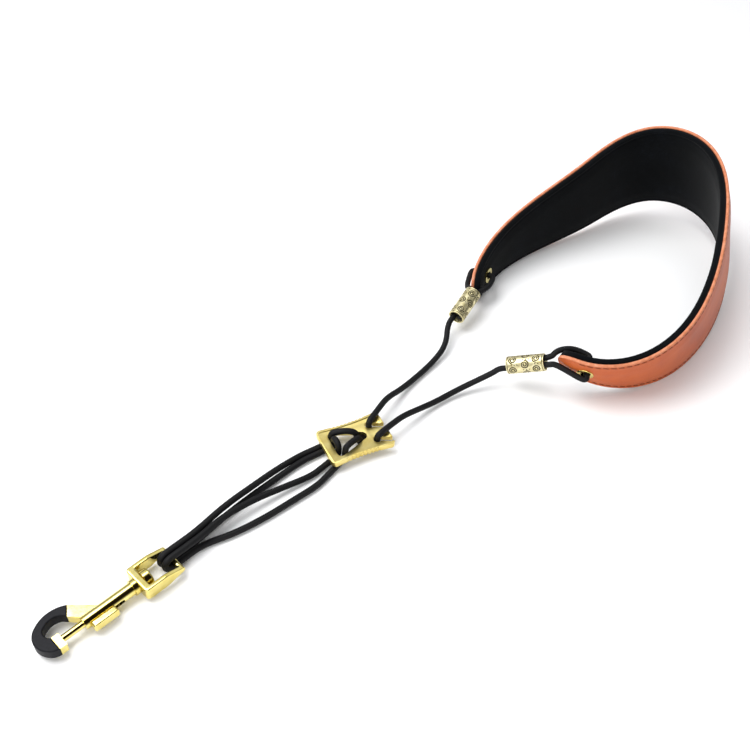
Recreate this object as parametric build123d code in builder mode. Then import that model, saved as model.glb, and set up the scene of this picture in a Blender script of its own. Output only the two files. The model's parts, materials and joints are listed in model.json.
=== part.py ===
"""Saxophone neck strap: a padded leather neck band, one braided cord doubled through a cast
adjuster, two tube beads and a swivelling bolt snap. It lies as laid on a table, with the pad
standing on its long edge. Millimetres, X from the snap to the pad, +Z up, origin on the table
under the middle of the whole strap."""

from math import cos, pi, radians, sin, sqrt, tan
import os

from build123d import *

os.makedirs("parts", exist_ok=True)

# ---------------------------------------------------------------- driving dimensions, in mm
cord_d = 3.0  # braided cord
cord_r = cord_d / 2
fit_gap = 0.05  # running clearance, each side
touch_gap = 0.1  # between a cord and what it rests on
joint_gap = 0.3  # between the end faces of two stretches of the same cord

pad_length = 385.0
pad_width = 57.0  # at the middle
pad_tip_width = 16.0  # across each tongue
pad_sweep_r = 1350.0  # radius of the flat pattern's gentle crescent
leather_t = 1.6
foam_t = 1.8
lining_t = 1.6
glue_t = 0.04  # glue line between two layers
foam_inset = 1.5  # foam stops short of the pad's edge
stitch_inset = 2.4
thread_w = 0.8
thread_h = 0.35
pad_step = 6.0  # spacing of the pad's cross-sections
pad_anchor = (200.8, -12.5, 39.35)  # a point of the outer face at mid width
anchor_s = 1.5  # its distance from the middle, towards the right tongue
pad_heading = -123.2  # direction of the pad's length there, degrees about Z
pad_pitch = 5.5  # its rise along that direction
pad_roll = 16.3  # its lean over the loop
# How sharply the pad bends along its length, from the left tongue to the right, in degrees per
# 10 mm, and how much it twists, at evenly spaced stations.
bend_span = 382.0  # between the first station and the last, centred on the anchor
pad_bends = (10.1, 5.0, -3.1, 20.1, 10.0, 2.1, 4.2, 10.4, 15.5)
pad_twists = (0.5, -0.5, 4.6)

eyelet_from_tip = 15.0
eyelet_bore = 4.6
eyelet_wall = 0.5
eyelet_flange_d = 8.4
eyelet_flange_t = 0.8
eyelet_seat = 0.35  # a flat flange stands off the curved pad by this much

bead_length = 19.0
bead_d = 8.8
bead_bore = 7.2
bead_rim_r = 0.25
strand_gap = 0.15  # between the two strands inside a bead
# Each bead lies on the cord with its mouth towards the adjuster.
bead_left_mouth = (44.4, 41.1, 9.0)
bead_left_heading = (18.3, 4.1, 4.0)
bead_right_mouth = (32.4, -3.6, 12.3)
bead_right_heading = (9.0, -15.9, 6.8)
tie_drop = {"left": 1.5, "right": -1.5}  # how far off mid width the cord leaves each tongue

plate_centre = (-50.6, 19.4)
plate_angle = -20.0
plate_length = 32.0
plate_width = 22.8
plate_waist = 1.3  # how far each long side is hollowed
plate_t = 2.2
plate_lift = cord_d + 0.5  # the strands run under the plate
plate_corner_r = 2.2
rim_w = 1.2
rim_h = 0.5
grip_count = 9
grip_pitch = 1.9
grip_r = 0.55
window_base = -11.6  # triangular window, along the plate's length from its centre
window_apex = 10.2  # where its long sides would meet
window_half = 8.6
window_corner_r = 2.0
window_apex_r = 2.6
keyhole_at = 9.3
keyhole_apart = 9.8
keyhole_r = 2.1
slot_w = 2.6
slot_angle = -27.0  # both slots lean the same way to the top edge

snap_y = 25.0  # axis of the barrel
snap_z = 4.6
barrel_front = -195.6
barrel_rear = -172.4
barrel_d = 5.7
barrel_bore = 4.2
flange_d = 7.2
flange_t = 1.8
bolt_d = 3.0
bolt_tip = -207.3
bolt_collar_front = -190.8
bolt_collar_length = 4.0
bolt_travel = 10.0
tab_length = 11.5
tab_lead = 4.9  # the tab's front end is this far ahead of its peg
tab_t = 2.6
tab_height = 4.2
peg_d = 1.6
spring_wire = 0.45
spring_turns = 7
hook_t = 4.2  # bare casting, across the table
coat_t = 0.6  # rubber coating
coat_round = 0.7
tip_block_front = -208.4
tip_block_rear = -205.4
rivet_head_d = 8.2
rivet_head_t = 3.4
rivet_shank_d = 3.0
eye_base_t = 3.2
eye_end = -150.9
eye_half = 7.6  # half the eye's outer width
eye_strip = 2.2
eye_height = 6.4
eye_bar_d = 2.8  # round bar that the cord hangs on
eye_corner_r = 3.4
eye_taper = 4.0  # the arms thin towards the bar over this length

# ---------------------------------------------------------------- helpers


def unit(vector):
    return Vector(*vector).normalized()


def turn_degrees(before, at, after):
    """How much a route turns at one of its points."""
    return (Vector(*at) - Vector(*before)).get_angle(Vector(*after) - Vector(*at))


def arc_radii(points):
    """The largest arc at each inner point of a route: 0.45 of its shorter run."""
    radii = []
    for before, at, after in zip(points, points[1:], points[2:]):
        shorter = min((Vector(*at) - Vector(*before)).length, (Vector(*after) - Vector(*at)).length)
        radii.append(0.45 * shorter / tan(radians(turn_degrees(before, at, after)) / 2))
    return radii


def cord_piece(name, points, tightest=None):
    """A stretch of cord: a round tube on straight runs joined by tangent arcs."""
    radii = arc_radii(points)
    if tightest:
        radii = [min(r, t) if t else r for r, t in zip(radii, tightest)]
    start = Vector(*points[0])
    with BuildPart() as piece:
        with BuildLine() as route:
            FilletPolyline(*points, radius=radii)
        with BuildSketch(Plane(origin=start, z_dir=Vector(*points[1]) - start)):
            Circle(cord_r)
        sweep()
    length = route.wires()[0].length
    share = piece.part.volume / (pi * cord_r**2 * length)
    print(f"{name}: {length:.1f} mm, tightest arc {min(radii):.1f} mm, volume share {share:.3f}")
    save(piece, name)


def save(builder, name):
    builder.part.label = name
    export_step(builder.part, f"parts/{name}.step")


def along_x(x, y=snap_y, z=snap_z):
    """A plane across the barrel's axis."""
    return Plane(origin=(x, y, z), x_dir=(0, 1, 0), z_dir=(1, 0, 0))


# ---------------------------------------------------------------- the pad


def at_station(values, s):
    """A value that changes evenly from station to station, s from the anchor."""
    place = (s / bend_span + 0.5) * (len(values) - 1)
    low = min(max(int(place), 0), len(values) - 2)
    return values[low] + (values[low + 1] - values[low]) * (place - low)


def walk_pad(direction):
    """Point, length direction and width direction of the outer face, from the anchor to one end."""
    along = Vector(cos(radians(pad_heading)), sin(radians(pad_heading)), 0)
    across = Vector(-along.Y, along.X, 0)
    along = along.rotate(Axis((0, 0, 0), across), pad_pitch)
    up = Vector(0, 0, 1).rotate(Axis((0, 0, 0), across), pad_pitch)
    up = up.rotate(Axis((0, 0, 0), along), pad_roll)
    point = Vector(*pad_anchor)
    frames = [(point, along, up)]
    for i in range(round(pad_length / 2 - direction * anchor_s)):
        s = direction * (i + 0.5)
        bend = radians(at_station(pad_bends, s)) / 10
        twist = radians(at_station(pad_twists, s)) / 10
        spin = up.cross(along) * (-1 / pad_sweep_r) - up * bend - along * twist
        axis = Axis((0, 0, 0), spin)
        angle = spin.length * direction * 180 / pi
        turned = along.rotate(axis, angle)
        point = point + (along + turned) * (direction / 2)
        along = turned
        up = up.rotate(axis, angle)
        frames.append((point, along, up))
    return frames


pad_right = walk_pad(1)
pad_left = walk_pad(-1)


def pad_frame(s):
    """The outer face's frame at a distance s from the pad's middle."""
    frames = pad_right if s >= anchor_s else pad_left
    place = min(abs(s - anchor_s), len(frames) - 1.001)
    low = int(place)
    share = place - low
    a, b = frames[low], frames[low + 1]
    return [p * (1 - share) + q * share for p, q in zip(a, b)]


def pad_point(s, v=0.0, out=0.0):
    """A point v up the pad's width and out from its outer face."""
    point, along, up = pad_frame(s)
    return point + up.normalized() * v + up.cross(along).normalized() * out


def pad_plane(s, out=0.0):
    """The cross-section plane at s: its x runs up the width, its y into the loop."""
    along = pad_frame(s)[1]
    return Plane(origin=pad_point(s, out=out), x_dir=pad_frame(s)[2], z_dir=along)


tip_r = pad_tip_width / 2
pad_half = pad_length / 2
tip_start = pad_half - tip_r


def half_width(s):
    """Half the pad's width: a soft taper to a rounded tongue."""
    taper = tip_r + (pad_width / 2 - tip_r) * cos(pi / 2 * min(1, abs(s) / pad_half))
    into_tip = (abs(s) - tip_start) / tip_r
    if into_tip <= 0:
        return taper
    return taper * sqrt(max(0.06, 1 - into_tip**2))


body_steps = int(tip_start / pad_step)
one_side = [tip_start * i / body_steps for i in range(body_steps + 1)]
one_side += [tip_start + tip_r * share for share in (0.35, 0.6, 0.8, 0.93, 1.0)]
stations = [-s for s in reversed(one_side[1:])] + one_side
thread_stations = [s for s in stations if abs(s) <= tip_start + 0.01]


def eyelet_plane(side, out=0.0):
    """The plane of an eyelet on the outer face, its normal pointing out of the loop."""
    s = side * (pad_half - eyelet_from_tip)
    along, up = pad_frame(s)[1:]
    return Plane(origin=pad_point(s, out=out), x_dir=along, z_dir=up.cross(along))


def pad_layer(name, top, thickness, inset):
    """One layer of the pad, pierced for both eyelets."""
    with BuildPart() as layer:
        for s in stations:
            with BuildSketch(pad_plane(s)):
                with Locations((0, top + thickness / 2)):
                    Rectangle(2 * (half_width(s) - min(inset, half_width(s) * 0.4)), thickness)
        loft(ruled=True)
        for side in (-1, 1):
            with BuildSketch(eyelet_plane(side)):
                Circle(eyelet_bore / 2 + eyelet_wall)
            extrude(amount=12, both=True, mode=Mode.SUBTRACT)
    save(layer, name)


pad_t = leather_t + foam_t + lining_t + 2 * glue_t
pad_layer("pad_leather", 0, leather_t, 0)
pad_layer("pad_foam", leather_t + glue_t, foam_t, foam_inset)
pad_layer("pad_lining", leather_t + foam_t + 2 * glue_t, lining_t, 0.3)

for name, edge in (("upper_seam_thread", 1), ("lower_seam_thread", -1)):
    with BuildPart() as thread:
        for s in thread_stations:
            with BuildSketch(pad_plane(s)):
                with Locations((edge * (half_width(s) - stitch_inset), -thread_h / 2 - 0.02)):
                    Rectangle(thread_w, thread_h)
        loft(ruled=True)
    save(thread, name)

for name, side in (("left", -1), ("right", 1)):
    with BuildPart() as eyelet:
        with BuildSketch(eyelet_plane(side, eyelet_seat)):
            Circle(eyelet_flange_d / 2)
        extrude(amount=eyelet_flange_t)
        with BuildSketch(eyelet_plane(side, -pad_t - eyelet_seat - eyelet_flange_t)):
            Circle(eyelet_bore / 2 + eyelet_wall - fit_gap)
        extrude(amount=pad_t + 2 * eyelet_seat + eyelet_flange_t + 0.1)
        with BuildSketch(eyelet_plane(side, -pad_t - 2)):
            Circle(eyelet_bore / 2)
        extrude(amount=pad_t + 4, mode=Mode.SUBTRACT)
        rim = eyelet.edges().filter_by(GeomType.CIRCLE).group_by(lambda e: e.radius)[-1]
        fillet(rim, eyelet_flange_t * 0.4)
    save(eyelet, f"eyelet_{name}")
    with BuildPart() as washer:
        with BuildSketch(eyelet_plane(side, -pad_t - eyelet_seat - eyelet_flange_t)):
            Circle(eyelet_flange_d / 2)
            Circle(eyelet_bore / 2 + eyelet_wall, mode=Mode.SUBTRACT)
        extrude(amount=eyelet_flange_t)
    save(washer, f"eyelet_washer_{name}")

# ---------------------------------------------------------------- beads and the cord at each tongue

strand_off = cord_r + strand_gap / 2
tie_lead = 2.2  # straight cord above each bead
tie_bends = (5.0, 6.0, 3.0, 3.0, 3.0, 3.0, 5.0)  # the cord bends this tightly round the tongue
tie_stand = 1.2  # between the cord and the tongue's tip, before the arc takes its share
over_flange = eyelet_seat + eyelet_flange_t + cord_r + 0.7
under_flange = pad_t + over_flange
tie_routes = {}

for name, side, mouth, heading in (
    ("left", -1, bead_left_mouth, bead_left_heading),
    ("right", 1, bead_right_mouth, bead_right_heading),
):
    axis = unit(heading)
    low = Vector(*mouth)
    high = low + axis * bead_length
    with BuildPart() as bead:
        with BuildSketch(Plane(origin=low, z_dir=axis)):
            Circle(bead_d / 2)
            Circle(bead_bore / 2, mode=Mode.SUBTRACT)
        extrude(amount=bead_length)
        fillet(bead.edges().filter_by(GeomType.CIRCLE), bead_rim_r)
    save(bead, f"bead_{name}")

    tip_s = side * pad_half
    eyelet_s = side * (pad_half - eyelet_from_tip)
    along, up = pad_frame(tip_s)[1:]
    outward = up.cross(along)
    outward = (outward - axis * outward.dot(axis)).normalized() * strand_off
    near_s = side * (pad_half - 1.0)
    through_s = eyelet_s - side * 0.4
    past_tip = pad_point(tip_s, v=tie_drop[name], out=-pad_t * 0.6) + along * side * (cord_r + 1.2)
    loop = [
        low + outward,
        high + outward + axis * tie_lead,
        pad_point(near_s, v=tie_drop[name], out=cord_r + tie_stand),
        pad_point(through_s, out=over_flange),
        pad_point(through_s, out=-under_flange),
        pad_point(near_s - side * 2, v=tie_drop[name], out=-pad_t - cord_r - 2 * tie_stand),
        past_tip,
        high - outward + axis * tie_lead,
        low - outward + axis * 0.6,
    ]
    tie_routes[name] = [tuple(p) for p in loop]
    cord_piece(f"cord_tie_{name}", tie_routes[name], tie_bends)

# ---------------------------------------------------------------- the adjuster

plate_plane = Plane(
    origin=(plate_centre[0], plate_centre[1], plate_lift),
    x_dir=(cos(radians(plate_angle)), sin(radians(plate_angle)), 0),
    z_dir=(0, 0, 1),
)


def on_plate(u, v, z):
    """A point along and across the plate, at a height above the table."""
    point = plate_plane.from_local_coords((u, v, 0))
    return (point.X, point.Y, z)


half_l = plate_length / 2
half_w = plate_width / 2


# straight ends, hollow long sides, rounded corners
with BuildSketch() as outline:
    with BuildLine():
        Line((half_l, -half_w), (half_l, half_w))
        ThreePointArc((half_l, half_w), (0, half_w - plate_waist), (-half_l, half_w))
        Line((-half_l, half_w), (-half_l, -half_w))
        ThreePointArc((-half_l, -half_w), (0, plate_waist - half_w), (half_l, -half_w))
    make_face()
    fillet(outline.vertices(), plate_corner_r)

with BuildSketch() as window:
    with BuildLine():
        Polyline(
            (window_base, window_half),
            (window_apex, 0),
            (window_base, -window_half),
            close=True,
        )
    make_face()
    fillet(window.vertices().sort_by(Axis.X)[-1], window_apex_r)
    fillet(window.vertices().group_by(Axis.X)[0], window_corner_r)

with BuildPart() as adjuster:
    with BuildSketch(plate_plane):
        add(outline.sketch)
    extrude(amount=plate_t + rim_h)
    with BuildSketch(plate_plane.offset(plate_t)):
        add(outline.sketch)
        offset(amount=-rim_w, mode=Mode.REPLACE)
    extrude(amount=rim_h * 2, mode=Mode.SUBTRACT)
    with BuildSketch(plate_plane):
        add(window.sketch)
    extrude(amount=plate_t + rim_h, mode=Mode.SUBTRACT)
    for across in (keyhole_apart / 2, -keyhole_apart / 2):
        with BuildSketch(plate_plane):
            with Locations((keyhole_at, across)):
                Circle(keyhole_r)
        extrude(amount=plate_t + rim_h, mode=Mode.SUBTRACT)
        slot_mid = 5.5
        with BuildSketch(plate_plane):
            with Locations(
                (
                    keyhole_at + slot_mid * cos(radians(slot_angle)),
                    across + slot_mid * sin(radians(slot_angle)),
                )
            ):
                Rectangle(2 * slot_mid, slot_w, rotation=slot_angle)
        extrude(amount=plate_t + rim_h, mode=Mode.SUBTRACT)
    for edge in (-1, 1):
        for i in range(grip_count):
            u = (i - (grip_count - 1) / 2) * grip_pitch
            depth = half_w - plate_waist * (1 - (u / half_l) ** 2)
            with BuildSketch(plate_plane):
                with Locations((u, edge * (depth + grip_r * 0.35))):
                    Circle(grip_r)
            extrude(amount=plate_t + rim_h, mode=Mode.SUBTRACT)
save(adjuster, "adjuster_plate")

# ---------------------------------------------------------------- the cord through the adjuster

under_z = cord_r + touch_gap
over_z = plate_lift + plate_t + cord_r + 0.4
leave_z = plate_lift + plate_t + rim_h + cord_r + 0.2
exit_u = -half_l - 3.0
keyhole_v = keyhole_apart / 2
cross_left = [
    on_plate(half_l + 0.9, keyhole_v + 5.7, leave_z),
    on_plate(keyhole_at + 0.4, keyhole_v + 0.2, leave_z),
    on_plate(keyhole_at - 0.2, keyhole_v - 0.2, under_z),
    on_plate(2.4, 1.65, under_z),
    on_plate(1.2, 1.75, over_z),
    on_plate(-3.4, 3.6, over_z + 1.2),
    on_plate(-9.3, 5.8, over_z),
    on_plate(-9.9, 5.9, under_z),
    on_plate(exit_u, 4.9, under_z),
]
cross_right = [
    on_plate(half_l + 1.6, 3.4 - keyhole_v, leave_z),
    on_plate(keyhole_at + 0.4, 0.2 - keyhole_v, leave_z),
    on_plate(keyhole_at - 0.2, 0.3 - keyhole_v, under_z),
    on_plate(2.4, -1.65, under_z),
    on_plate(1.2, -1.75, over_z),
    on_plate(-7.0, -5.2, over_z),
    on_plate(-7.6, -5.5, under_z),
    on_plate(exit_u, -12.0, under_z),
]
cross_middle = [
    on_plate(exit_u, 1.6, under_z),
    on_plate(-9.8, 2.7, under_z),
    on_plate(-9.8, 2.7, over_z),
    on_plate(-9.8, -2.6, over_z),
    on_plate(-9.9, -2.9, under_z),
    on_plate(exit_u, -6.6, under_z),
]
cord_piece("cord_cross_left", cross_left)
cord_piece("cord_cross_right", cross_right)
cord_piece("cord_cross_middle", cross_middle)


def lead(points, ahead, end=-1):
    """A point straight ahead of a route's end."""
    tip, before = Vector(*points[end]), Vector(*points[end - 1 if end < 0 else end + 1])
    return tuple(tip + (tip - before).normalized() * ahead)


upper_left = [
    lead(tie_routes["left"], joint_gap, 0),
    lead(tie_routes["left"], 6.0, 0),
    (28.5, 33.6, 4.4),
    (17.0, 31.2, 2.4),
    (4.0, 30.0, 1.8),
    (-10.0, 28.4, 3.0),
    lead(cross_left, 9.0, 0),
    lead(cross_left, joint_gap, 0),
]
upper_right = [
    lead(tie_routes["right"], joint_gap, 0),
    lead(tie_routes["right"], 4.5, 0),
    (26.0, 0.5, 8.6),
    (18.5, 4.6, 5.4),
    (8.5, 8.6, 3.0),
    (-3.0, 10.7, 2.4),
    (-14.0, 11.9, 4.2),
    lead(cross_right, 9.0, 0),
    lead(cross_right, joint_gap, 0),
]
cord_piece("cord_upper_left", upper_left)
cord_piece("cord_upper_right", upper_right)

# ---------------------------------------------------------------- the lower strands and their bights

bar_x = eye_end - eye_bar_d / 2
above_bar = snap_z + eye_bar_d / 2 + cord_r + touch_gap
below_bar = snap_z - eye_bar_d / 2 - cord_r - touch_gap
bight_left_y = snap_y + 2.5
bight_right_y = snap_y - 0.9
bight_start = bar_x + 4.0
bight_end = bar_x - eye_bar_d / 2 - cord_r - 1.2
bights = {}
for name, y in (("left", bight_left_y), ("right", bight_right_y)):
    bights[name] = [
        (bight_start, y, above_bar),
        (bight_end, y, above_bar),
        (bight_end, y, below_bar),
        (bight_start, y, below_bar),
    ]
    cord_piece(f"cord_bight_{name}", bights[name])

lower_strands = (
    (
        cross_left,
        -1,
        ((-88.0, 32.4, 3.4), (-103.0, 31.2, 5.4), (-120.0, 30.3, 6.8)),
        bights["left"],
        0,
    ),
    (
        cross_middle,
        0,
        ((-90.0, 29.6, under_z), (-106.0, 29.9, under_z), (-122.0, 29.3, under_z)),
        bights["left"],
        -1,
    ),
    (
        cross_middle,
        -1,
        ((-93.0, 22.6, 3.0), (-108.0, 25.3, 5.0), (-124.0, 26.3, 6.6)),
        bights["right"],
        0,
    ),
    (
        cross_right,
        -1,
        ((-93.0, 14.6, under_z), (-108.0, 16.0, under_z), (-124.0, 19.0, under_z)),
        bights["right"],
        -1,
    ),
)
for i, (above, end, between, bight, bight_side) in enumerate(lower_strands):
    route = [lead(above, joint_gap, end), lead(above, 8.0, end)]
    route += list(between)
    route += [lead(bight, 11.0, bight_side), lead(bight, joint_gap, bight_side)]
    cord_piece(f"cord_lower_{i + 1}", route)

# ---------------------------------------------------------------- the bolt snap

hook_plane = Plane(origin=(0, 0, snap_z), x_dir=(1, 0, 0), z_dir=(0, 0, 1))
bolt_bore = bolt_d + 2 * fit_gap


y = snap_y
# plan of the hook: a slanted nose, a round bend and a tip that the bolt meets
with BuildSketch() as hook_outline:
    with BuildLine():
        Polyline((-186.0, y), (-186.0, y + 0.8), (-195.0, y + 10.0))
        ThreePointArc((-195.0, y + 10.0), (-203.2, y + 12.9), (-210.8, y + 10.6))
        ThreePointArc((-210.8, y + 10.6), (-215.0, y + 4.0), (-212.9, y - 2.3))
        ThreePointArc((-212.9, y - 2.3), (-210.9, y - 4.0), (tip_block_front, y - 4.6))
        Polyline(
            (tip_block_front, y - 4.6),
            (tip_block_rear, y - 4.6),
            (tip_block_rear, y + 2.0),
            (tip_block_front, y + 2.0),
        )
        ThreePointArc((tip_block_front, y + 2.0), (-209.9, y + 5.0), (-207.6, y + 8.1))
        ThreePointArc((-207.6, y + 8.1), (-204.0, y + 9.1), (-200.4, y + 7.9))
        Polyline((-200.4, y + 7.9), (-194.6, y + 1.2), (-194.6, y), (-186.0, y))
    make_face()


# the stretch of the hook that the coating covers
with BuildSketch() as coated_zone:
    with BuildLine():
        Polyline(
            (-195.2, y + 11.5),
            (-199.0, y + 5.6),
            (-204.0, y + 2.6),
            (tip_block_front, y + 2.6),
            (tip_block_front, y - 7.0),
            (-220.0, y - 7.0),
            (-220.0, y + 16.0),
            (-195.2, y + 16.0),
            close=True,
        )
    make_face()


def zone_of(thickness, coated):
    """The hook's outline inside or outside the coated stretch, as a slab."""
    with BuildPart() as slab:
        with BuildSketch(hook_plane):
            add(hook_outline.sketch)
        extrude(amount=thickness / 2, both=True)
        with BuildSketch(hook_plane):
            add(coated_zone.sketch)
        extrude(amount=thickness, both=True, mode=Mode.INTERSECT if coated else Mode.SUBTRACT)
    return slab.part


with BuildPart() as core_slab:
    with BuildSketch(hook_plane):
        add(hook_outline.sketch)
        offset(amount=-coat_t, mode=Mode.REPLACE)
    extrude(amount=hook_t / 2 - 0.2, both=True)
    with BuildSketch(hook_plane):
        add(coated_zone.sketch)
    extrude(amount=hook_t, both=True, mode=Mode.INTERSECT)
hook_core = core_slab.part

with BuildPart() as coating:
    add(zone_of(hook_t + 2 * (coat_t - 0.1), True))
    flat_edges = coating.edges().filter_by(lambda e: e.bounding_box().size.Z < 0.01)
    fillet(flat_edges.filter_by(lambda e: e.length > coat_round), coat_round)
    add(hook_core, mode=Mode.SUBTRACT)
save(coating, "hook_coating")

with BuildPart() as hook:
    add(zone_of(hook_t, False))
    add(hook_core)
    with BuildSketch(along_x(barrel_front)):
        Circle(barrel_d / 2)
    extrude(amount=barrel_rear - barrel_front)
    with BuildSketch(along_x(barrel_rear)):
        Circle(flange_d / 2)
    extrude(amount=flange_t)
    with BuildSketch(along_x(bolt_tip - fit_gap)):
        Circle(bolt_bore / 2)
    extrude(amount=bolt_collar_front - bolt_tip + 1, mode=Mode.SUBTRACT)
    with BuildSketch(along_x(bolt_collar_front)):
        Circle(barrel_bore / 2)
    extrude(amount=barrel_rear - bolt_collar_front + flange_t + 1, mode=Mode.SUBTRACT)
    peg_x = bolt_collar_front + bolt_collar_length / 2
    slot_plane = Plane(origin=(0, snap_y, snap_z), x_dir=(1, 0, 0), z_dir=(0, -1, 0))
    with BuildSketch(slot_plane):
        with Locations((peg_x + bolt_travel / 2, 0)):
            SlotCenterToCenter(bolt_travel + 0.4, peg_d + 4 * fit_gap)
    extrude(amount=barrel_d, mode=Mode.SUBTRACT)
save(hook, "hook_body")

with BuildPart() as bolt:
    with BuildSketch(along_x(bolt_tip)):
        Circle(bolt_d / 2)
    extrude(amount=bolt_collar_front - bolt_tip + 0.1)
    with BuildSketch(along_x(bolt_collar_front + 0.05)):
        Circle(barrel_bore / 2 - fit_gap)
    extrude(amount=bolt_collar_length)
    with BuildSketch(slot_plane):
        with Locations((peg_x, 0)):
            Circle(peg_d / 2)
    extrude(amount=barrel_d, mode=Mode.SUBTRACT)
    chamfer(bolt.faces().sort_by(Axis.X)[0].edges(), 0.4)
save(bolt, "bolt_pin")

tab_near = barrel_d / 2 + 0.3
with BuildPart() as tab:
    with BuildSketch(slot_plane):
        with Locations((peg_x, 0)):
            Circle(peg_d / 2)
    extrude(amount=tab_near + 0.5)
    with BuildSketch(slot_plane.offset(tab_near)):
        with Locations((peg_x + tab_length / 2 - tab_lead, 0)):
            RectangleRounded(tab_length, tab_height, 1.0)
    extrude(amount=tab_t)
    fillet(tab.faces().sort_by(Axis.Y)[0].edges(), 0.5)
save(tab, "thumb_tab")

rivet_plug_t = 2.2
spring_front = bolt_collar_front + bolt_collar_length + 0.1
spring_rear = barrel_rear + flange_t - rivet_plug_t - 0.05
spring_length = spring_rear - spring_front - spring_wire
spring_r = barrel_bore / 2 - fit_gap - spring_wire / 2 - 0.1
with BuildPart() as spring:
    with BuildLine() as coil:
        Helix(
            pitch=spring_length / spring_turns,
            height=spring_length,
            radius=spring_r,
            center=(spring_front + spring_wire / 2, snap_y, snap_z),
            direction=(1, 0, 0),
        )
    with BuildSketch(Plane(origin=coil.edge() @ 0, z_dir=coil.edge() % 0)):
        Circle(spring_wire / 2)
    sweep()
save(spring, "bolt_spring")

eye_front = barrel_rear + flange_t + 0.4
eye_back = eye_front + eye_base_t
with BuildPart() as washer:
    with BuildSketch(along_x(barrel_rear + flange_t + 0.02)):
        Circle(flange_d / 2 - 0.4)
        Circle(rivet_shank_d / 2 + fit_gap, mode=Mode.SUBTRACT)
    extrude(amount=0.34)
save(washer, "swivel_washer")

with BuildPart() as rivet:
    with BuildSketch(along_x(barrel_rear + flange_t - rivet_plug_t)):
        Circle(barrel_bore / 2)
    extrude(amount=rivet_plug_t)
    with BuildSketch(along_x(barrel_rear + flange_t)):
        Circle(rivet_shank_d / 2)
    extrude(amount=eye_back - barrel_rear - flange_t + fit_gap)
    with BuildSketch(along_x(eye_back + fit_gap)):
        Circle(rivet_head_d / 2)
    extrude(amount=rivet_head_t)
    fillet(rivet.edges().filter_by(GeomType.CIRCLE).sort_by(Axis.X)[-1], 0.8)
save(rivet, "swivel_rivet")

arms_taper_from = eye_end - eye_bar_d / 2 - eye_corner_r - eye_taper
with BuildPart() as eye:
    with BuildSketch(hook_plane) as loop_face:
        with Locations(((eye_front + bar_x) / 2, snap_y)):
            Rectangle(bar_x - eye_front, 2 * eye_half)
        with Locations(((eye_back + bar_x) / 2 + 2, snap_y)):
            Rectangle(bar_x - eye_back + 4, 2 * (eye_half - eye_strip), mode=Mode.SUBTRACT)
    extrude(amount=eye_height / 2, both=True)
    # the arms fall away towards the bar
    with BuildSketch(Plane(origin=(0, snap_y, snap_z), x_dir=(1, 0, 0), z_dir=(0, -1, 0))):
        with BuildLine():
            Polyline(
                (eye_front - 1, eye_height / 2),
                (arms_taper_from, eye_height / 2),
                (bar_x, eye_bar_d / 2),
                (bar_x, -eye_bar_d / 2),
                (arms_taper_from, -eye_height / 2),
                (eye_front - 1, -eye_height / 2),
                close=True,
            )
        make_face()
    extrude(amount=eye_half + 1, both=True, mode=Mode.INTERSECT)
    with BuildSketch(Plane(origin=(bar_x, snap_y - eye_half, snap_z), z_dir=(0, 1, 0))):
        Circle(eye_bar_d / 2)
    extrude(amount=2 * eye_half)
    with BuildSketch(along_x(eye_front - 1)):
        Circle(rivet_shank_d / 2 + fit_gap)
    extrude(amount=eye_base_t + 2, mode=Mode.SUBTRACT)
    fillet(eye.edges().filter_by(Axis.Z).group_by(Axis.X)[0], 1.6)
save(eye, "swivel_eye")
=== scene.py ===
"""Looks for a saxophone neck strap: padded leather band, braided cord, brass beads, cast
adjuster and a swivelling bolt snap with a rubber-coated hook."""

import json
from math import atan2, cos, hypot, pi, radians, sin, sqrt

import bmesh
import bpy
from mathutils import Matrix, Vector, noise


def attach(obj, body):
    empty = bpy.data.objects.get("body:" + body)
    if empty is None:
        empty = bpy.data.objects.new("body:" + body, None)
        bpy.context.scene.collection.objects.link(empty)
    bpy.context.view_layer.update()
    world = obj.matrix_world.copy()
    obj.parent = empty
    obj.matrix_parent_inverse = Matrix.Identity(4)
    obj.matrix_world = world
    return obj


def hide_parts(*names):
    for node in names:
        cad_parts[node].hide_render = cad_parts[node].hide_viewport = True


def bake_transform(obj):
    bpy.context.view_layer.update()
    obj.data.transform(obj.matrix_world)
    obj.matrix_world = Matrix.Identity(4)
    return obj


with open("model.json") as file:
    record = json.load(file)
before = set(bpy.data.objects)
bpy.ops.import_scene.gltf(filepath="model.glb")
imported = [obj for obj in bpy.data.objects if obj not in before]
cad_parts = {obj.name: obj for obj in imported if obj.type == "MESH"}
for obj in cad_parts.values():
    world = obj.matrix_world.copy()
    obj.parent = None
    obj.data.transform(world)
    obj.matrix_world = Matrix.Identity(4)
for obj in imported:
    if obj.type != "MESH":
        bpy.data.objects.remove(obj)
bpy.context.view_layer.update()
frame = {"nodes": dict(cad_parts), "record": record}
MM = 0.001

# ------------------------------------------------------------------ small tools


def linear(hex_colour):
    """An sRGB hex colour as linear RGBA."""
    channels = [int(hex_colour[i : i + 2], 16) / 255 for i in (0, 2, 4)]
    return [c / 12.92 if c <= 0.04045 else ((c + 0.055) / 1.055) ** 2.4 for c in channels] + [1]


def node_body(name):
    """The body that a CAD node is part of."""
    bodies = frame["record"]["behaviour"]["bodies"]
    return next(body for body, nodes in bodies.items() if name in nodes)


def add_node(tree, kind, links=(), **settings):
    """Adds a shader node. links are (input, socket or value)."""
    node = tree.nodes.new(kind)
    for key, value in settings.items():
        setattr(node, key, value)
    for name, value in links:
        if isinstance(value, bpy.types.NodeSocket):
            tree.links.new(value, node.inputs[name])
        else:
            node.inputs[name].default_value = value
    return node


def start_material(name):
    """A material with a Principled shader: returns the material, its tree and the shader."""
    material = bpy.data.materials.new(name)
    material.use_nodes = True
    tree = material.node_tree
    return material, tree, tree.nodes["Principled BSDF"]


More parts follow.
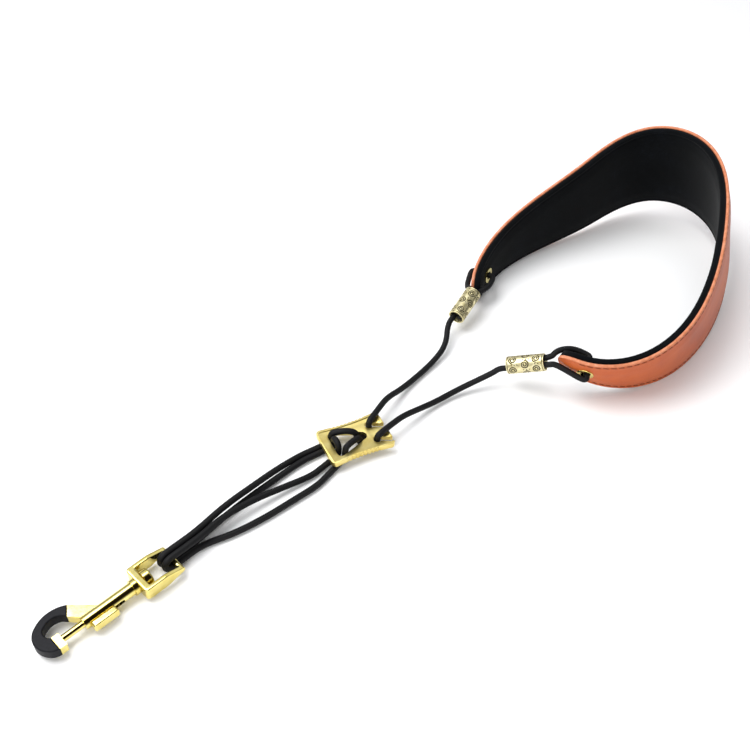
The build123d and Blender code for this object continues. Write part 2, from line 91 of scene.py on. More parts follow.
def ramp(tree, factor, stops):
    """A colour ramp with (place, hex) stops."""
    node = add_node(tree, "ShaderNodeValToRGB", [("Fac", factor)])
    while len(node.color_ramp.elements) < len(stops):
        node.color_ramp.elements.new(0.5)
    for element, (place, colour) in zip(node.color_ramp.elements, stops):
        element.position = place
        element.color = linear(colour)
    return node.outputs["Color"]


def bump(tree, shader, height, distance, strength=1.0):
    node = add_node(
        tree, "ShaderNodeBump", [("Height", height), ("Distance", distance), ("Strength", strength)]
    )
    tree.links.new(node.outputs["Normal"], shader.inputs["Normal"])


def object_noise(tree, size, detail=3.0, roughness=0.55):
    """Noise whose features are about size metres across."""
    place = add_node(tree, "ShaderNodeTexCoord").outputs["Object"]
    links = [("Vector", place), ("Scale", 1 / size), ("Detail", detail), ("Roughness", roughness)]
    return add_node(tree, "ShaderNodeTexNoise", links).outputs["Fac"]


# ------------------------------------------------------------------ materials


def leather_face():
    """Vegetable-tanned cowhide, dyed orange and lightly waxed: soft mottling, a fine pebble
    grain about 0.9 mm across and a broad dull shine."""
    material, tree, shader = start_material("orange_cowhide")
    mottle = object_noise(tree, 30 * MM, 5.0, 0.6)
    colour = ramp(tree, mottle, [(0.30, "A54413"), (0.50, "BA531A"), (0.72, "C86226")])
    tree.links.new(colour, shader.inputs["Base Color"])
    place = add_node(tree, "ShaderNodeTexCoord").outputs["Object"]
    cells = add_node(
        tree, "ShaderNodeTexVoronoi", [("Vector", place), ("Scale", 1 / (0.9 * MM))]
    ).outputs["Distance"]
    fine = object_noise(tree, 0.5 * MM, 4.0)
    height = add_node(tree, "ShaderNodeMath", [(0, cells), (1, fine)], operation="ADD").outputs[0]
    bump(tree, shader, height, 0.06 * MM, 0.5)
    rough = add_node(
        tree, "ShaderNodeMapRange", [("Value", mottle), ("To Min", 0.42), ("To Max", 0.58)]
    ).outputs[0]
    tree.links.new(rough, shader.inputs["Roughness"])
    return material


def leather_edge():
    """The cut edge of the same hide: undyed pinkish tan with the layers of the fibre."""
    material, tree, shader = start_material("raw_hide_edge")
    fibre = object_noise(tree, 2.5 * MM, 6.0, 0.7)
    colour = ramp(tree, fibre, [(0.25, "A85A38"), (0.5, "CF7F58"), (0.8, "DFA284")])
    tree.links.new(colour, shader.inputs["Base Color"])
    bump(tree, shader, fibre, 0.1 * MM, 0.6)
    shader.inputs["Roughness"].default_value = 0.75
    return material


def lining_suede():
    """Split suede dyed blue-black: no shine, a nap that catches light at a grazing angle."""
    material, tree, shader = start_material("blue_black_suede")
    nap = object_noise(tree, 1.4 * MM, 8.0, 0.75)
    patches = object_noise(tree, 18 * MM, 3.0)
    blend = add_node(
        tree, "ShaderNodeMath", [(0, nap), (1, patches)], operation="MULTIPLY"
    ).outputs[0]
    colour = ramp(tree, blend, [(0.10, "020304"), (0.30, "05070A"), (0.45, "0C1016")])
    tree.links.new(colour, shader.inputs["Base Color"])
    bump(tree, shader, nap, 0.15 * MM, 0.7)
    shader.inputs["Roughness"].default_value = 0.95
    shader.inputs["Sheen Weight"].default_value = 0.04
    shader.inputs["Specular IOR Level"].default_value = 0.1
    return material


def waxed_thread():
    """Twisted polyester thread, waxed: plies across each stitch."""
    material, tree, shader = start_material("waxed_thread")
    fibre = object_noise(tree, 0.35 * MM, 4.0)
    colour = ramp(tree, fibre, [(0.3, "6E2F0E"), (0.55, "8C4218"), (0.8, "A55626")])
    tree.links.new(colour, shader.inputs["Base Color"])
    bump(tree, shader, fibre, 0.08 * MM)
    shader.inputs["Roughness"].default_value = 0.6
    return material


def braided_polyester():
    """Black polyester braid: the plait is in the mesh, the yarn's filaments are here."""
    material, tree, shader = start_material("black_braid")
    place = add_node(tree, "ShaderNodeUVMap", uv_map="UVMap").outputs["UV"]
    stretch = add_node(
        tree, "ShaderNodeMapping", [("Vector", place), ("Scale", (60, 260, 1))]
    ).outputs["Vector"]
    links = [("Vector", stretch), ("Scale", 1.0)]
    yarn = add_node(tree, "ShaderNodeTexNoise", links).outputs["Fac"]
    colour = ramp(tree, yarn, [(0.3, "030304"), (0.6, "08080A"), (0.85, "131316")])
    tree.links.new(colour, shader.inputs["Base Color"])
    bump(tree, shader, yarn, 0.08 * MM)
    shader.inputs["Roughness"].default_value = 0.62
    shader.inputs["Specular IOR Level"].default_value = 0.25
    return material


def metal(name, dark, light, roughness, grain_size, grain_depth):
    """Cast and plated zinc: a slight tone drift and a fine surface grain."""
    material, tree, shader = start_material(name)
    drift = object_noise(tree, 6 * MM, 4.0)
    colour = ramp(tree, drift, [(0.3, dark), (0.7, light)])
    tree.links.new(colour, shader.inputs["Base Color"])
    grain = object_noise(tree, grain_size, 3.0)
    bump(tree, shader, grain, grain_depth, 0.6)
    low, high = roughness
    rough = add_node(
        tree, "ShaderNodeMapRange", [("Value", grain), ("To Min", low), ("To Max", high)]
    ).outputs[0]
    tree.links.new(rough, shader.inputs["Roughness"])
    shader.inputs["Metallic"].default_value = 1.0
    return material


def engraved_brass():
    """Antiqued brass: pale rubbed high spots, dark oxide left in the engraving."""
    material, tree, shader = start_material("antique_brass")
    depth = add_node(tree, "ShaderNodeAttribute", attribute_name="engraving").outputs["Fac"]
    drift = object_noise(tree, 2 * MM, 5.0)
    pale = ramp(tree, drift, [(0.3, "C9BC85"), (0.7, "EFE6BC")])
    mix = add_node(
        tree, "ShaderNodeMix", [("Factor", depth)], data_type="RGBA"
    )
    tree.links.new(pale, mix.inputs["A"])
    mix.inputs["B"].default_value = linear("2A2216")
    tree.links.new(mix.outputs["Result"], shader.inputs["Base Color"])
    rough = add_node(
        tree, "ShaderNodeMapRange", [("Value", depth), ("To Min", 0.3), ("To Max", 0.8)]
    ).outputs[0]
    tree.links.new(rough, shader.inputs["Roughness"])
    bump(tree, shader, drift, 0.05 * MM, 0.5)
    shader.inputs["Metallic"].default_value = 0.85
    return material


def dipped_rubber():
    """Black rubber dip: satin, with a faint orange-peel surface."""
    material, tree, shader = start_material("rubber_dip")
    peel = object_noise(tree, 1.2 * MM, 3.0)
    colour = ramp(tree, peel, [(0.3, "0E0E12"), (0.7, "17171C")])
    tree.links.new(colour, shader.inputs["Base Color"])
    bump(tree, shader, peel, 0.06 * MM, 0.6)
    shader.inputs["Roughness"].default_value = 0.5
    shader.inputs["Specular IOR Level"].default_value = 0.15
    return material


HIDE = leather_face()
HIDE_EDGE = leather_edge()
SUEDE = lining_suede()
THREAD = waxed_thread()
BRAID = braided_polyester()
SATIN_GOLD = metal("satin_gilt_casting", "D6BE66", "E8D890", (0.26, 0.4), 0.7 * MM, 0.05 * MM)
BRIGHT_GOLD = metal("polished_gilt", "D8C466", "EADC90", (0.06, 0.14), 1.5 * MM, 0.02 * MM)
STEEL = metal("drawn_steel_wire", "8A8A88", "B4B4B2", (0.25, 0.4), 0.5 * MM, 0.02 * MM)
BRASS = engraved_brass()
RUBBER = dipped_rubber()

# ------------------------------------------------------------------ meshes


def make_object(name, vertices, faces, material, uvs=None):
    """A mesh object at the origin, with its place in its mesh."""
    mesh = bpy.data.meshes.new(name)
    mesh.from_pydata([tuple(v) for v in vertices], [], faces)
    if uvs:
        layer = mesh.uv_layers.new(name="UVMap")
        for loop in mesh.loops:
            layer.data[loop.index].uv = uvs[loop.vertex_index]
    mesh.materials.append(material)
    mesh.shade_smooth()
    piece = bpy.data.objects.new(name, mesh)
    bpy.context.scene.collection.objects.link(piece)
    return piece


def face_outwards(piece):
    shape = bmesh.new()
    shape.from_mesh(piece.data)
    bmesh.ops.recalc_face_normals(shape, faces=shape.faces)
    shape.to_mesh(piece.data)
    shape.free()


def grid_faces(rows, columns):
    """Quads between rings of vertices, row after row."""
    faces = []
    for i in range(rows - 1):
        for j in range(columns):
            k = (j + 1) % columns
            low, high = i * columns, (i + 1) * columns
            faces.append((low + j, low + k, high + k, high + j))
    return faces


# ------------------------------------------------------------------ camera, floor and light

CAMERA_AT = Vector((-0.2630, -0.2060, 0.3456))
CAMERA_AIM = Vector((-0.0100, 0.0470, 0.0))


DARK_PATCH = (0.05, -0.6, 0.8)  # direction of the room's one dark patch


def set_the_stage():
    camera_data = bpy.data.cameras.new("camera")
    camera_data.lens = 47.04
    camera_data.sensor_width = 36
    camera_data.clip_start = 0.01
    camera = bpy.data.objects.new("camera", camera_data)
    camera.location = CAMERA_AT
    camera.rotation_euler = (CAMERA_AIM - CAMERA_AT).to_track_quat("-Z", "Y").to_euler()
    bpy.context.scene.collection.objects.link(camera)
    bpy.context.scene.camera = camera

    bpy.ops.mesh.primitive_plane_add(size=8, location=(0, 0, -0.0003))
    floor = bpy.context.object
    floor.name = "table"
    material, tree, shader = start_material("white_table")
    shader.inputs["Base Color"].default_value = linear("FAFAF9")
    shader.inputs["Roughness"].default_value = 0.7
    shader.inputs["Specular IOR Level"].default_value = 0.2
    floor.data.materials.append(material)

    world = bpy.data.worlds.new("studio")
    bpy.context.scene.world = world
    world.use_nodes = True
    tree = world.node_tree
    direction = add_node(tree, "ShaderNodeTexCoord").outputs["Object"]
    height = add_node(tree, "ShaderNodeSeparateXYZ", [("Vector", direction)]).outputs["Z"]
    # a white room whose walls are a little dimmer, and one dark patch in the ceiling's corner
    # that polished metal mirrors as brown streaks
    walls = [(0.05, "F0F0F0"), (0.2, "8C8B88"), (0.42, "9A9894"), (0.6, "F6F8FF")]
    room = ramp(tree, height, walls)
    facing = add_node(
        tree, "ShaderNodeVectorMath", [(0, direction), (1, DARK_PATCH)], operation="DOT_PRODUCT"
    ).outputs["Value"]
    patch = ramp(tree, facing, [(0.80, "FFFFFF"), (0.86, "2C241A"), (1.0, "1A140E")])
    light = add_node(
        tree, "ShaderNodeMix", [("Factor", 1.0)], data_type="RGBA", blend_type="MULTIPLY"
    )
    tree.links.new(room, light.inputs["A"])
    tree.links.new(patch, light.inputs["B"])
    tree.links.new(light.outputs["Result"], tree.nodes["Background"].inputs["Color"])
    tree.nodes["Background"].inputs["Strength"].default_value = 1.02
    for name, at, size, power in (
        ("overhead", (-0.25, 0.35, 0.9), 0.7, 9.0),
        ("front_fill", (-0.7, -0.5, 0.6), 0.6, 4.0),
    ):
        light_data = bpy.data.lights.new(name, "AREA")
        light_data.size = size
        light_data.energy = power
        light = bpy.data.objects.new(name, light_data)
        light.location = at
        aim = Vector((0.02, 0, 0.02)) - Vector(at)
        light.rotation_euler = aim.to_track_quat("-Z", "Y").to_euler()
        bpy.context.scene.collection.objects.link(light)
    bpy.context.scene.view_settings.view_transform = "Standard"


set_the_stage()

# ------------------------------------------------------------------ braided cord

CORD_D = 3.0 * MM
CARRIERS = 8  # yarns each way round
LAY = 9.5 * MM  # one turn of a yarn
RING = 32  # points round the cord
RING_STEP = 0.35 * MM
RELIEF = 0.09 * MM  # how far a yarn's crown stands over its crossings
CLOSING = 0.5 * MM  # the ends are drawn in over this length


def spline_path(points):
    """Points along the route's smooth NURBS line, evenly spaced."""
    curve = bpy.data.curves.new("route", "CURVE")
    curve.dimensions = "3D"
    curve.resolution_u = 24
    spline = curve.splines.new("NURBS")
    spline.points.add(len(points) - 1)
    for control, place in zip(spline.points, points):
        control.co = (place[0] * MM, place[1] * MM, place[2] * MM, 1)
    spline.order_u = 3
    spline.use_endpoint_u = True
    holder = bpy.data.objects.new("route", curve)
    mesh = bpy.data.meshes.new_from_object(holder)
    line = [v.co.copy() for v in mesh.vertices]
    bpy.data.objects.remove(holder)
    bpy.data.meshes.remove(mesh)
    lengths = [0.0]
    for a, b in zip(line, line[1:]):
        lengths.append(lengths[-1] + (b - a).length)
    count = round(lengths[-1] / RING_STEP)
    path, k = [], 0
    for i in range(count + 1):
        want = lengths[-1] * i / count
        while k < len(line) - 2 and lengths[k + 1] < want:
            k += 1
        share = (want - lengths[k]) / (lengths[k + 1] - lengths[k])
        path.append(line[k].lerp(line[k + 1], min(1, share)))
    return path, lengths[-1]


def braid(name, points):
    """A round plaited cord along a route, its yarns crossing over and under."""
    path, length = spline_path(points)
    vertices, uvs = [], []
    forward = (path[1] - path[0]).normalized()
    side = forward.orthogonal().normalized()
    for i, place in enumerate(path):
        ahead = (path[min(i + 1, len(path) - 1)] - path[max(i - 1, 0)]).normalized()
        side = (side - ahead * side.dot(ahead)).normalized()
        other = ahead.cross(side)
        run = length * i / (len(path) - 1)
        end = min(run, length - run)
        closing = 1 if end > CLOSING else 0.8 + 0.2 * sqrt(end / CLOSING)
        for j in range(RING):
            turn = 2 * pi * j / RING
            one = sin(CARRIERS / 2 * turn + pi * run / LAY * CARRIERS)
            two = sin(CARRIERS / 2 * turn - pi * run / LAY * CARRIERS)
            radius = (CORD_D / 2 - RELIEF + RELIEF * max(abs(one), abs(two))) * closing
            vertices.append(place + side * (cos(turn) * radius) + other * (sin(turn) * radius))
            uvs.append((j / RING, run / 0.1))
    faces = grid_faces(len(path), RING)
    faces.append(tuple(reversed(range(RING))))
    faces.append(tuple((len(path) - 1) * RING + j for j in range(RING)))
    cord = make_object(name, vertices, faces, BRAID, uvs=uvs)
    return cord, path, length


LEFT_TOP = [
    (-43.6, 20.4, 1.6), (-41.2, 20.5, 1.6), (-40.7, 20.5, 3.0), (-40.6, 20.6, 7.0),
    (-39.2, 21.1, 8.1), (-31.1, 23.6, 7.9), (-22.5, 26.3, 7.4), (-10.0, 28.4, 3.0),
    (4.0, 30.0, 1.8), (17.0, 31.2, 2.4), (28.5, 33.6, 4.4), (38.3, 41.4, 7.7), (44.1, 42.6, 9.0),
    (64.3, 47.2, 13.4), (66.3, 53.1, 9.5), (76.5, 59.3, 10.0), (80.2, 60.6, 10.1),
    (80.9, 57.0, 10.2), (82.9, 50.0, 10.6), (82.3, 47.4, 10.7), (73.7, 44.0, 10.6),
    (66.2, 46.3, 9.4), (65.0, 44.1, 13.4), (45.3, 39.7, 9.1),
]
RIGHT_TOP = [
    (-46.3, 14.5, 1.6), (-44.4, 12.7, 1.6), (-43.7, 12.0, 3.0), (-43.6, 11.8, 7.0),
    (-42.4, 11.6, 8.1), (-34.6, 12.0, 7.9), (-25.6, 12.3, 7.4), (-14.0, 11.9, 4.2),
    (-3.0, 10.7, 2.4), (8.5, 8.6, 3.0), (18.5, 4.6, 5.4), (26.0, 0.5, 8.6), (29.1, -0.8, 10.3),
    (31.2, -4.5, 11.9), (40.9, -21.8, 19.3), (43.0, -23.8, 19.5), (46.2, -36.0, 16.3),
    (47.4, -39.4, 16.2), (50.3, -37.4, 17.7), (56.3, -34.2, 20.9), (57.6, -32.5, 21.6),
    (54.0, -24.7, 23.6), (47.6, -20.3, 23.3), (43.4, -20.0, 20.1), (33.9, -3.2, 12.9),
]
LOWER = [
    # under the adjuster, up through its window and down beside it
    (-42.0, 20.4, 1.6), (-47.6, 20.1, 1.6), (-48.6, 20.3, 3.0), (-49.0, 20.7, 7.4),
    (-52.6, 23.9, 8.8), (-57.0, 27.6, 8.0), (-57.9, 28.3, 6.6), (-58.3, 28.4, 2.2),
    (-60.0, 28.9, 1.6), (-66.8, 30.5, 1.6),
    # first run to the snap, round its bar and back
    (-74.5, 32.4, 1.6), (-88.0, 32.4, 3.4), (-103.0, 31.2, 5.4), (-120.0, 30.3, 6.8),
    (-137.3, 27.5, 7.6), (-148.0, 27.5, 7.6), (-156.4, 27.5, 7.6), (-156.4, 27.5, 1.6),
    (-148.0, 27.5, 1.6), (-137.3, 27.5, 1.6), (-122.0, 29.3, 1.6), (-106.0, 29.9, 1.6),
    (-90.0, 29.6, 1.6), (-75.7, 29.2, 1.6), (-67.9, 27.4, 1.6),
    # across the window's wide side
    (-60.6, 25.7, 1.6), (-59.1, 25.3, 2.4), (-59.1, 25.2, 7.0), (-59.3, 24.0, 8.2),
    (-60.3, 21.2, 8.2), (-60.7, 20.2, 7.0), (-60.9, 20.1, 2.4), (-62.4, 20.0, 1.6),
    (-70.7, 19.7, 1.6),
    # second run to the snap, round its bar and back
    (-78.7, 19.4, 1.6), (-93.0, 22.6, 3.0), (-108.0, 25.3, 5.0), (-124.0, 26.3, 6.6),
    (-137.3, 24.1, 7.6), (-148.0, 24.1, 7.6), (-156.4, 24.1, 7.6), (-156.4, 24.1, 1.6),
    (-148.0, 24.1, 1.6), (-137.3, 24.1, 1.6), (-124.0, 19.0, 1.6), (-108.0, 16.0, 1.6),
    (-93.0, 14.6, 1.6), (-80.4, 13.3, 1.6), (-72.6, 14.6, 1.6),
    # up through the window and down again under the adjuster
    (-62.0, 16.3, 1.6), (-60.0, 16.7, 2.2), (-59.6, 16.8, 6.6), (-58.4, 16.9, 8.0),
    (-54.0, 17.2, 8.0), (-50.2, 17.3, 7.2), (-49.6, 17.2, 3.0), (-48.6, 16.7, 1.6),
    (-45.0, 13.3, 1.6),
]

for name, route, still_x, replaced in (
    ("cord_left_top", LEFT_TOP, 0.042, ("cord_upper_left", "cord_tie_left")),
    ("cord_right_top", RIGHT_TOP, 0.030, ("cord_upper_right", "cord_tie_right")),
):
    cord, path, length = braid(name, route)
    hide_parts(*replaced)
    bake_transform(cord)
cord, path, length = braid("cord_to_snap", LOWER)
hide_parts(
    "cord_lower_1", "cord_lower_2", "cord_lower_3", "cord_lower_4", "cord_bight_left",
    "cord_bight_right", "cord_cross_left", "cord_cross_middle", "cord_cross_right",
)
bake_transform(cord)

# ------------------------------------------------------------------ the padded band

BAND_LENGTH = 385.0
BAND_WIDTH = 57.0
TONGUE_WIDTH = 16.0
SWEEP_R = 1350.0
ANCHOR = Vector((200.8, -12.5, 39.35))
ANCHOR_S = 1.5
HEADING, PITCH, ROLL = -123.2, 5.5, 16.3
BEND_SPAN = 382.0
BENDS = (10.1, 5.0, -3.1, 20.1, 10.0, 2.1, 4.2, 10.4, 15.5)
TWISTS = (0.5, -0.5, 4.6)
HIDE_T = 1.6
BACK_T = 3.44  # foam and lining together
GLUE = 0.04
STITCH_INSET = 2.4
STITCH_PITCH = 3.7
STITCH_PROUD = 0.16
EYELET_FROM_TIP = 15.0
EYELET_HOLE_R = 2.95 * MM
HALF = BAND_LENGTH / 2
TIP_R = TONGUE_WIDTH / 2


def at_station(values, s):
    place = (s / BEND_SPAN + 0.5) * (len(values) - 1)
    low = min(max(int(place), 0), len(values) - 2)
    return values[low] + (values[low + 1] - values[low]) * (place - low)


def walk_band(direction):
    """Frames of the band's outer face, 1 mm apart, from the anchor to one end."""
    heading = radians(HEADING)
    along = Vector((cos(heading), sin(heading), 0))
    pitched = Matrix.Rotation(radians(PITCH), 3, Vector((-along.y, along.x, 0)))
    along = pitched @ along
    up = Matrix.Rotation(radians(ROLL), 3, along) @ (pitched @ Vector((0, 0, 1)))
    place = ANCHOR.copy()
    frames = [(place, along, up)]
    for i in range(round(HALF - direction * ANCHOR_S)):
        s = direction * (i + 0.5)
        spin = up.cross(along) * (-1 / SWEEP_R)
        bend, twist = radians(at_station(BENDS, s)) / 10, radians(at_station(TWISTS, s)) / 10
        spin -= up * bend + along * twist
        turn = Matrix.Rotation(spin.length * direction, 3, spin)
        turned = turn @ along
        place = place + (along + turned) * (direction / 2)
        along, up = turned, turn @ up
        frames.append((place, along, up))
    return frames


TO_RIGHT = walk_band(1)
TO_LEFT = walk_band(-1)


def band_frame(s):
    frames = TO_RIGHT if s >= ANCHOR_S else TO_LEFT
    place = min(abs(s - ANCHOR_S), len(frames) - 1.001)
    low = int(place)
    share = place - low
    point, along, up = (a.lerp(b, share) for a, b in zip(frames[low], frames[low + 1]))
    return point, up.normalized(), up.cross(along).normalized()


def half_width(s):
    taper = TIP_R + (BAND_WIDTH / 2 - TIP_R) * cos(pi / 2 * min(1, abs(s) / HALF))
    into_tip = (abs(s) - HALF + TIP_R) / TIP_R
    return taper if into_tip <= 0 else taper * sqrt(max(0.002, 1 - into_tip**2))


def band_point(s, v, out):
    """A point of the band in metres: v up the width and out from the face, in mm."""
    point, up, outward = band_frame(s)
    return (point + up * v + outward * out) * MM


def ease(x):
    x = min(1, max(0, x))
    return x * x * (3 - 2 * x)


def cushion(s, v):
    """How far the padding lifts a face at s, v: none at the seam, most in the middle."""
    inside = half_width(s) - STITCH_INSET - abs(v)
    lift = 0.75 * ease(inside / 7) if inside > 0 else 0
    valley = 0.28 * max(0, 1 - (inside / 0.9) ** 2)
    between = 0.5 - 0.5 * cos(2 * pi * s / STITCH_PITCH)
    near_seam = max(0, 1 - abs(inside) / 3)
    return lift - valley + 0.07 * near_seam * between


def hide_relief(s, v):
    """The hide's slow waves, and creases where the band bends outwards."""
    wave = 0.22 * noise.noise(Vector((s / 26, v / 17, 3.1)))
    slack = max(0, 6 - at_station(BENDS, s)) / 9
    crease = 0.10 * slack * noise.noise(Vector((s / 2.6, v / 20, 8.7)))
    fade = ease((half_width(s) - abs(v)) / 5)
    return (wave + crease) * fade


ROW_STEP = 1.1
LAST_ROWS = 9
ROWS = [i * ROW_STEP for i in range(int((HALF - TIP_R) / ROW_STEP))]
ROWS += [HALF - TIP_R + TIP_R * sin(pi / 2 * (i + 1) / LAST_ROWS) for i in range(LAST_ROWS)]
ROWS = [-s for s in reversed(ROWS[1:])] + ROWS
FACE_POINTS = 56


def band_layer(name, outer, inner, material, edge_material, rounding):
    """A closed layer: outer and inner give each face's height, and the edge is rounded."""
    vertices = []
    edge = 5
    for s in ROWS:
        h = half_width(s)
        ring = []
        r = min(rounding, h * 0.45)
        for i in range(FACE_POINTS + 1):
            share = i / FACE_POINTS * 2 - 1
            v = (h - r) * sin(share * pi / 2) if h > 6 else (h - r) * share
            ring.append((v, outer(s, v)))
        top = outer(s, h - r)
        low = inner(s, h - r)
        middle, reach = (top + low) / 2, (top - low) / 2
        for i in range(1, edge):
            turn = pi * i / edge
            ring.append((h - r + r * sin(turn), middle + reach * cos(turn)))
        for i in range(FACE_POINTS + 1):
            share = 1 - i / FACE_POINTS * 2
            v = (h - r) * sin(share * pi / 2) if h > 6 else (h - r) * share
            ring.append((v, inner(s, v)))
        top = outer(s, r - h)
        low = inner(s, r - h)
        middle, reach = (top + low) / 2, (top - low) / 2
        for i in range(1, edge):
            turn = pi * i / edge
            ring.append((r - h - r * sin(turn), middle - reach * cos(turn)))
        vertices += [band_point(s, v, out) for v, out in ring]
    columns = len(vertices) // len(ROWS)
    faces = grid_faces(len(ROWS), columns)
    faces.append(tuple(reversed(range(columns))))
    faces.append(tuple((len(ROWS) - 1) * columns + j for j in range(columns)))
    layer = make_object(name, vertices, faces, material)
    layer.data.materials.append(edge_material)
    edges = set(range(FACE_POINTS, FACE_POINTS + edge))
    edges |= set(range(2 * FACE_POINTS + 1 + edge - 1, columns))
    for polygon in layer.data.polygons[: (len(ROWS) - 1) * columns]:
        if polygon.index % columns in edges:
            polygon.material_index = 1
    for polygon in layer.data.polygons[(len(ROWS) - 1) * columns :]:
        polygon.material_index = 1
    face_outwards(layer)
    return layer


def eyelet_holes(piece):
    """Cuts the eyelets' holes through a layer, a little larger than their barrels."""
    for side in (-1, 1):
        point, up, outward = band_frame(side * (HALF - EYELET_FROM_TIP))
        bpy.ops.object.select_all(action="DESELECT")
        bpy.ops.mesh.primitive_cylinder_add(vertices=40, radius=EYELET_HOLE_R, depth=20 * MM)
        cutter = bpy.context.object
        turn = outward.to_track_quat("Z", "Y").to_matrix().to_4x4()
        cutter.matrix_world = Matrix.Translation(point * MM) @ turn
        cut = piece.modifiers.new("eyelet", "BOOLEAN")
        cut.operation = "DIFFERENCE"
        cut.solver = "EXACT"
        cut.object = cutter
        bpy.context.view_layer.objects.active = piece
        bpy.ops.object.modifier_apply(modifier=cut.name)
        bpy.data.objects.remove(cutter)


hide = band_layer(
    "band_hide",
    lambda s, v: cushion(s, v) + hide_relief(s, v),
    lambda s, v: -HIDE_T + min(0.0, cushion(s, v)),
    HIDE,
    HIDE_EDGE,
    0.7,
)
eyelet_holes(hide)
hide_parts("pad_leather")
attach(hide, "strap")

backing = band_layer(
    "band_lining",
    lambda s, v: -HIDE_T - GLUE + min(0.0, cushion(s, v)),
    lambda s, v: -HIDE_T - GLUE - BACK_T - 0.9 * cushion(s, v) + 0.35,
    SUEDE,
    SUEDE,
    1.3,
)
eyelet_holes(backing)
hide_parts("pad_lining", "pad_foam")
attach(backing, "strap")


def one_stitch():
    """A stitch lying along X: a plump thread that narrows where it dives into the hide."""
    bpy.ops.object.select_all(action="DESELECT")
    bpy.ops.mesh.primitive_uv_sphere_add(segments=10, ring_count=8, radius=1)
    stitch = bpy.context.object
    bpy.ops.object.mode_set(mode="EDIT")
    bpy.ops.mesh.select_all(action="SELECT")
    bpy.ops.transform.rotate(value=pi / 2, orient_axis="Y", center_override=(0, 0, 0))
    bpy.ops.transform.resize(value=(STITCH_PITCH * 0.41, 0.36, 0.3))
    bpy.ops.object.mode_set(mode="OBJECT")
    shape = [v.co.copy() for v in stitch.data.vertices]
    faces = [tuple(p.vertices) for p in stitch.data.polygons]
    mesh = stitch.data
    bpy.data.objects.remove(stitch)
    bpy.data.meshes.remove(mesh)
    return shape, faces


def seam(name, face, material):
    """Copies of the stitch along both long edges, each following the surface below it."""
    shape, pattern = one_stitch()
    vertices, faces = [], []
    count = int(2 * (HALF - TIP_R) / STITCH_PITCH)
    for edge in (-1, 1):
        for i in range(count):
            middle = (i - (count - 1) / 2) * STITCH_PITCH
            base = len(vertices)
            for x, y, z in shape:
                s = middle + x
                v = edge * (half_width(s) - STITCH_INSET) + 0.12 * x + y
                vertices.append(band_point(s, v, face(s, v) + z + STITCH_PROUD))
            faces += [tuple(base + k for k in f) for f in pattern]
    stitches = make_object(name, vertices, faces, material)
    face_outwards(stitches)
    return stitches


stitches = seam("seam_stitches", lambda s, v: cushion(s, v) + hide_relief(s, v), THREAD)
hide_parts("upper_seam_thread", "lower_seam_thread")
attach(stitches, "strap")

# ------------------------------------------------------------------ beads

BEAD_R, BEAD_BORE_R, BEAD_L = 4.4, 3.6, 19.0
BEADS = {
    "bead_left": ((44.4, 41.1, 9.0), (18.3, 4.1, 4.0)),
    "bead_right": ((32.4, -3.6, 12.3), (9.0, -15.9, 6.8)),
}
SCROLLS_ROUND = 5
SCROLL_ROWS = (3.6, 9.5, 15.4)
SCROLL_R = 2.35
ENGRAVED = 0.22  # depth of the deepest line
PATINA = 1.6  # the oxide spreads past the line by this factor


def engraving(turn, run):
    """Depth from 0 to 1 of the bead's engraving: rows of curled scrolls, dots between them and
    a line near each end."""
    girth = 2 * pi * BEAD_R
    depth = 0.0
    spacing = girth / SCROLLS_ROUND
    for row, centre in enumerate(SCROLL_ROWS):
        x = (turn / (2 * pi) * girth + row * spacing / 2) % spacing - spacing / 2
        y = run - centre
        r = hypot(x, y)
        if r < SCROLL_R + 0.4:
            angle = (atan2(y, x) + (pi if row % 2 else 0)) % (2 * pi)
            for extra in (0, 2 * pi):
                line = 0.35 + 1.5 * (angle + extra) / (3.4 * pi)
                if line < SCROLL_R:
                    depth = max(depth, 1 - ((r - line) / 0.34) ** 2)
        for dot_x, dot_y in ((spacing / 2, 0.75), (spacing / 2, -0.75), (spacing / 2, 2.2)):
            gap = hypot((x - dot_x + spacing / 2) % spacing - spacing / 2, y - dot_y)
            depth = max(depth, 1 - (gap / 0.36) ** 2)
    for line in (0.8, BEAD_L - 0.8):
        depth = max(depth, 1 - ((run - line) / 0.22) ** 2)
    return max(0.0, depth)


def bead(name):
    mouth, heading = BEADS[name]
    axis = Vector(heading).normalized()
    side = Vector((0, 0, 1)).cross(axis).normalized()
    other = axis.cross(side)
    around, rows = 200, 130
    profile = [(BEAD_BORE_R, BEAD_L * (1 - i / 8)) for i in range(1, 9)]
    profile += [(BEAD_BORE_R, 0.3), (BEAD_BORE_R + 0.15, 0.06)]
    profile += [(BEAD_R - 0.35, 0.0), (BEAD_R - 0.12, 0.08)]
    profile += [(BEAD_R, 0.3 + (BEAD_L - 0.6) * i / rows) for i in range(rows + 1)]
    profile += [(BEAD_R - 0.12, BEAD_L - 0.08), (BEAD_R - 0.35, BEAD_L)]
    profile += [(BEAD_BORE_R + 0.15, BEAD_L - 0.06), (BEAD_BORE_R, BEAD_L - 0.3)]
    vertices, depths = [], []
    for radius, run in profile:
        for j in range(around):
            turn = 2 * pi * j / around
            depth = engraving(turn, run) if radius == BEAD_R else 0.0
            r = radius - ENGRAVED * depth
            place = Vector(mouth) + axis * run + side * (cos(turn) * r) + other * (sin(turn) * r)
            vertices.append(place * MM)
            depths.append(min(1, depth * PATINA))
    faces = grid_faces(len(profile), around)
    last = (len(profile) - 1) * around
    faces += [(last + j, last + (j + 1) % around, (j + 1) % around, j) for j in range(around)]
    shell = make_object(f"{name}_engraved", vertices, faces, BRASS)
    layer = shell.data.attributes.new("engraving", "FLOAT", "POINT")
    layer.data.foreach_set("value", depths)
    face_outwards(shell)
    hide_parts(name)
    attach(shell, name)


for name in BEADS:
    bead(name)

# ------------------------------------------------------------------ metalwork


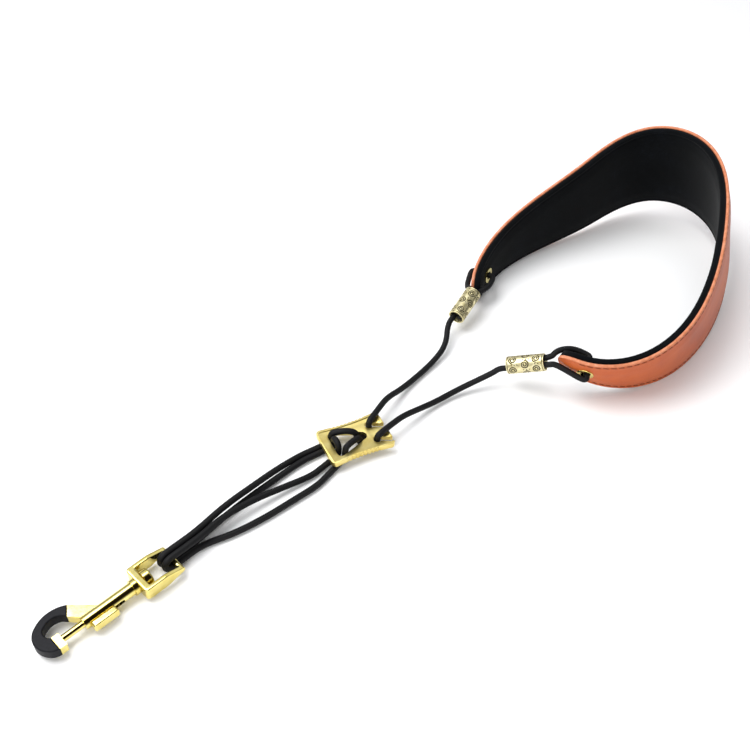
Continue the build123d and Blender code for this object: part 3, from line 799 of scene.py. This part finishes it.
def cast_copy(node, suffix, material, flatten=False):
    """A merged copy of a CAD node, selected and ready for modifiers. flatten joins the
    triangles of each flat face."""
    piece = bpy.data.objects.new(f"{node}_{suffix}", frame["nodes"][node].data.copy())
    bpy.context.scene.collection.objects.link(piece)
    piece.data.materials.clear()
    piece.data.materials.append(material)
    shape = bmesh.new()
    shape.from_mesh(piece.data)
    bmesh.ops.remove_doubles(shape, verts=shape.verts, dist=0.002 * MM)
    if flatten:
        flat = radians(1.5)
        bmesh.ops.dissolve_limit(shape, angle_limit=flat, verts=shape.verts, edges=shape.edges)
    for face in shape.faces:
        face.material_index = 0
    shape.to_mesh(piece.data)
    shape.free()
    bpy.ops.object.select_all(action="DESELECT")
    bpy.context.view_layer.objects.active = piece
    piece.select_set(True)
    return piece


def stand_for(piece, node):
    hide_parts(node)
    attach(piece, node_body(node))


def round_off(node, material, voxel, passes):
    """All the edges melted round, as on a thickly plated die casting."""
    piece = cast_copy(node, "cast", material)
    remesh = piece.modifiers.new("even_skin", "REMESH")
    remesh.mode = "VOXEL"
    remesh.voxel_size = voxel
    remesh.use_smooth_shade = True
    bpy.ops.object.modifier_apply(modifier=remesh.name)
    melt = piece.modifiers.new("melted_edges", "SMOOTH")
    melt.factor = 0.5
    melt.iterations = passes
    bpy.ops.object.modifier_apply(modifier=melt.name)
    stand_for(piece, node)


def soften(node, material, width):
    """Edges rounded a little, as tumbling leaves them."""
    piece = cast_copy(node, "tumbled", material, flatten=True)
    rounding = piece.modifiers.new("tumbled_edges", "BEVEL")
    rounding.width = width
    rounding.segments = 3
    rounding.limit_method = "ANGLE"
    rounding.angle_limit = radians(40)
    bpy.ops.object.modifier_apply(modifier=rounding.name)
    bpy.ops.object.shade_smooth_by_angle(angle=radians(35))
    stand_for(piece, node)


soften("adjuster_plate", SATIN_GOLD, 0.35 * MM)
round_off("swivel_eye", BRIGHT_GOLD, 0.16 * MM, 60)
round_off("thumb_tab", BRIGHT_GOLD, 0.1 * MM, 6)

# the coil spring in steel, baked in place: on the real snap it shortens as the bolt is drawn back,
# here it stays as it is
spring = bpy.data.objects.new("coil_spring", frame["nodes"]["bolt_spring"].data.copy())
bpy.context.scene.collection.objects.link(spring)
spring.data.materials.clear()
spring.data.materials.append(STEEL)
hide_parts("bolt_spring")
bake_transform(spring)

FINISHES = {
    "hook_body": BRIGHT_GOLD, "bolt_pin": BRIGHT_GOLD, "swivel_rivet": BRIGHT_GOLD,
    "swivel_washer": BRIGHT_GOLD, "hook_coating": RUBBER,
    "eyelet_left": BRIGHT_GOLD, "eyelet_right": BRIGHT_GOLD,
    "eyelet_washer_left": BRIGHT_GOLD, "eyelet_washer_right": BRIGHT_GOLD,
}
for name, material in FINISHES.items():
    node = frame["nodes"][name]
    for slot in node.material_slots:
        slot.material = material
    if not node.material_slots:
        node.data.materials.append(material)
